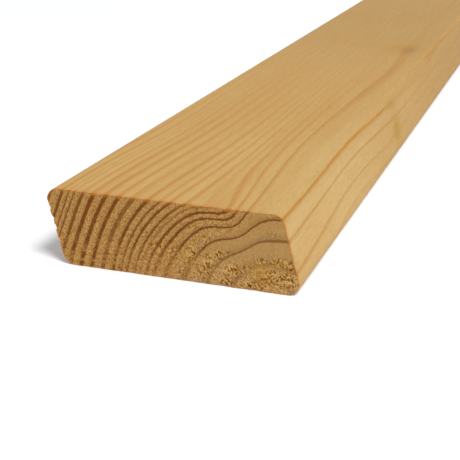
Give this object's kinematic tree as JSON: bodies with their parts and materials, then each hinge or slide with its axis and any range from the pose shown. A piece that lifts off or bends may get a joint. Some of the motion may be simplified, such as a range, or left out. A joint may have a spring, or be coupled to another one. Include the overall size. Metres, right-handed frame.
{
  "type": "rhombus cladding batten",
  "caption": "Planed softwood batten of rhombus section, with bevelled long edges and rounded arrises, screwed side by side with open joints to clad a wall or fence.",
  "frame": {"origin": "on the back face, below the middle of the batten's length and overall width", "axes": "+Y along the batten's length, +X across its width towards the bevelled edge that faces up, +Z out of the front face"},
  "size_m": [0.0662, 1.8, 0.02],
  "materials": {
    "planed_softwood": "planed and untreated, honey-coloured softwood with darker latewood lines, ends sawn"
  },
  "bodies": {
    "root": {"rhombus_batten": "planed_softwood"}
  },
  "joints": []
}
